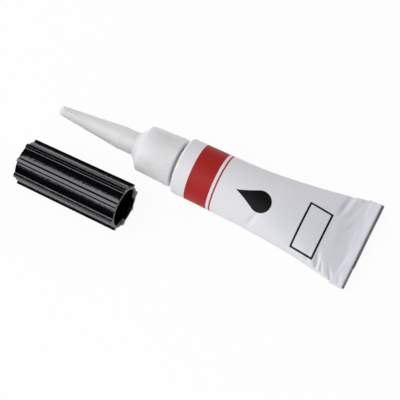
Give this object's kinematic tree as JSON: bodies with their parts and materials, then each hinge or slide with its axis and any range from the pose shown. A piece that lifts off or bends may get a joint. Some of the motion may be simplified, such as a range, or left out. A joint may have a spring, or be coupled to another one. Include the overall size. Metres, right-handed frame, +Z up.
{
  "type": "glue tube",
  "caption": "Small collapsible metal glue tube with a folded end and a screw-on pointed nozzle, its ribbed push-on cap lying beside it",
  "frame": {"origin": "under the middle of the whole object, on the table it lies on", "axes": "+X along the tube towards its folded end, +Y sideways away from the cap, +Z up"},
  "size_m": [0.0716, 0.0276, 0.0121],
  "materials": {
    "tube": "white baked lacquer on soft drawn aluminium, satin to glossy",
    "seal": "dried latex band, matte",
    "glue": "clear thin liquid adhesive",
    "nozzle": "natural milky polyethylene, satin, light passes through thin walls",
    "cap": "black polypropylene, glossy moulded"
  },
  "bodies": {
    "tube": {"tube_shell": "tube", "end_seal": "seal", "glue_fill": "glue"},
    "nozzle_core": {"nozzle_glue": "glue"},
    "nozzle": {"nozzle": "nozzle"},
    "cap": {"cap": "cap"}
  },
  "joints": [
    {"name": "nozzle_lift", "type": "slide", "parent": "tube", "child": "nozzle_core", "axis": [-0.9964, 0, 0.0848], "range_m": [0, 0.00413]},
    {"name": "nozzle_turn", "type": "hinge", "parent": "nozzle_core", "child": "nozzle", "pos_m": [-0.00484, 0.00403, 0.00622], "axis": [-0.9964, 0, 0.0848], "range_deg": [0, 990]},
    {"name": "cap_pull", "type": "slide", "parent": "tube", "child": "cap", "axis": [-0.9994, 0.0349, 0], "range_m": [0, 0.0193]}
  ],
  "couplings": [
    {"joint": "nozzle_turn", "follows": "nozzle_lift", "rad_per_m": 4188.7}
  ]
}
